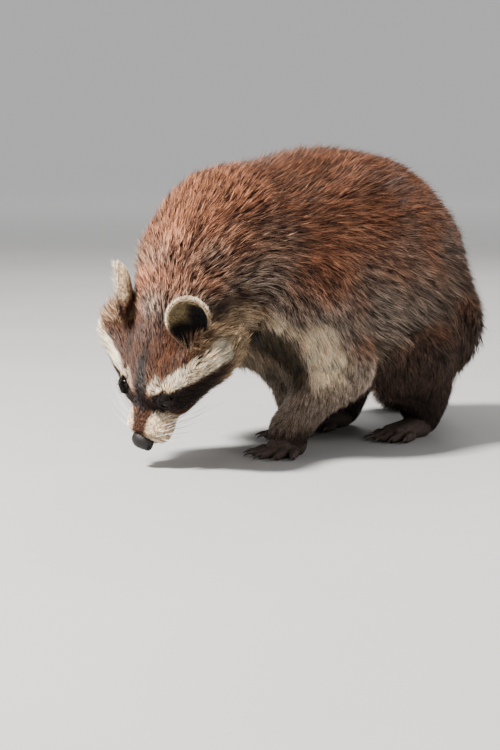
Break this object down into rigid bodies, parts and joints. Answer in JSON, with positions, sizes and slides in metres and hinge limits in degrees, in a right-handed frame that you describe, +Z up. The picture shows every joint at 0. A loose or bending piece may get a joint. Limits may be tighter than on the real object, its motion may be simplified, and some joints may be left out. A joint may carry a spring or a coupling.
{
  "type": "raccoon",
  "caption": "Life-size standing raccoon, back arched, head lowered to the ground, ringed tail lying behind on the floor; still museum-type model.",
  "frame": {"origin": "on the floor, at the middle of the animal's bounding box", "axes": "+Z up; the animal faces -Y and its left side is towards +X"},
  "size_m": [0.3152, 0.635, 0.3054],
  "materials": {
    "rusty_coat": "long rusty red-brown guard hair with dark roots and pinkish pale tips",
    "head_coat": "short grizzled brown fur with a black-brown eye mask and cream brow stripes and muzzle",
    "pale_coat": "cream and beige fur over brown",
    "flank_coat": "dark grey-brown long fur",
    "paw_coat": "very short dark grey-brown fur on bare-looking fingers",
    "tail_coat": "bushy fur in dark and pale rings",
    "claw": "smooth dark horn",
    "nose": "moist pebbled black nose leather",
    "eye": "wet dark brown eye"
  },
  "bodies": {
    "root": {"belly": "rusty_coat", "chest": "rusty_coat", "claw_forepaw_left_1": "claw", "claw_forepaw_left_2": "claw", "claw_forepaw_left_3": "claw", "claw_forepaw_left_4": "claw", "claw_forepaw_left_5": "claw", "claw_forepaw_right_1": "claw", "claw_forepaw_right_2": "claw", "claw_forepaw_right_3": "claw", "claw_forepaw_right_4": "claw", "claw_forepaw_right_5": "claw", "claw_hindpaw_left_1": "claw", "claw_hindpaw_left_2": "claw", "claw_hindpaw_left_3": "claw", "claw_hindpaw_left_4": "claw", "claw_hindpaw_left_5": "claw", "claw_hindpaw_right_1": "claw", "claw_hindpaw_right_2": "claw", "claw_hindpaw_right_3": "claw", "claw_hindpaw_right_4": "claw", "claw_hindpaw_right_5": "claw", "ear_left": "pale_coat", "ear_right": "pale_coat", "eye_left": "eye", "eye_right": "eye", "foreleg_left": "pale_coat", "foreleg_right": "pale_coat", "forepaw_left": "paw_coat", "forepaw_right": "paw_coat", "head": "head_coat", "hindleg_left": "flank_coat", "hindleg_right": "flank_coat", "hindpaw_left": "paw_coat", "hindpaw_right": "paw_coat", "neck": "rusty_coat", "nose": "nose", "rump": "rusty_coat", "shoulder_left": "pale_coat", "shoulder_right": "pale_coat", "tail_1": "tail_coat", "tail_2": "tail_coat", "tail_3": "tail_coat", "tail_4": "tail_coat", "thigh_left": "flank_coat", "thigh_right": "flank_coat"}
  },
  "joints": []
}
